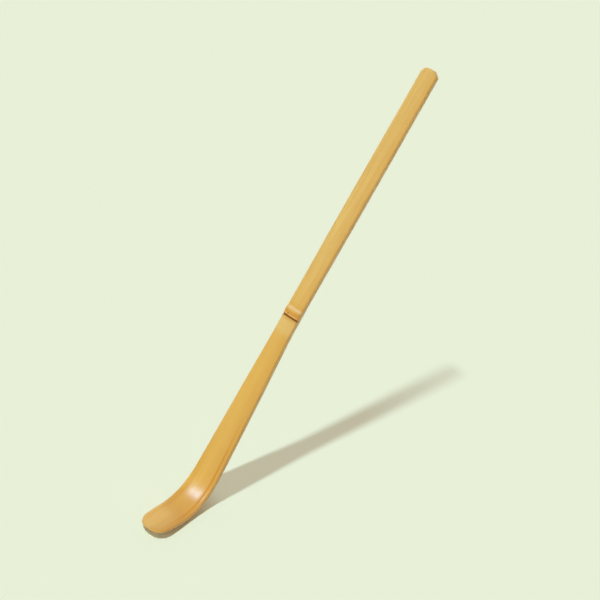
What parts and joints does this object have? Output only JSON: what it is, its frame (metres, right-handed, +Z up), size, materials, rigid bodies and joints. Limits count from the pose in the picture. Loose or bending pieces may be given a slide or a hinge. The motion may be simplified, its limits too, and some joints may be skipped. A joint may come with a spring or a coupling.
{
  "type": "tea scoop",
  "caption": "Bamboo tea scoop: slim straight handle, a node halfway along, a widening shank and a heat-bent, dished blade with a rounded tip.",
  "frame": {"origin": "halfway along the scoop's overall length, on its middle plane, on the table that it lies on", "axes": "+X from the butt of the handle to the blade, +Y across the strip, +Z up, the side that the skin and the dished blade face as the scoop lies on its back"},
  "size_m": [0.182, 0.0108, 0.0275],
  "materials": {
    "bamboo": "satin, planed along the grain, polished skin side"
  },
  "bodies": {
    "root": {"bamboo_scoop": "bamboo"}
  },
  "joints": []
}
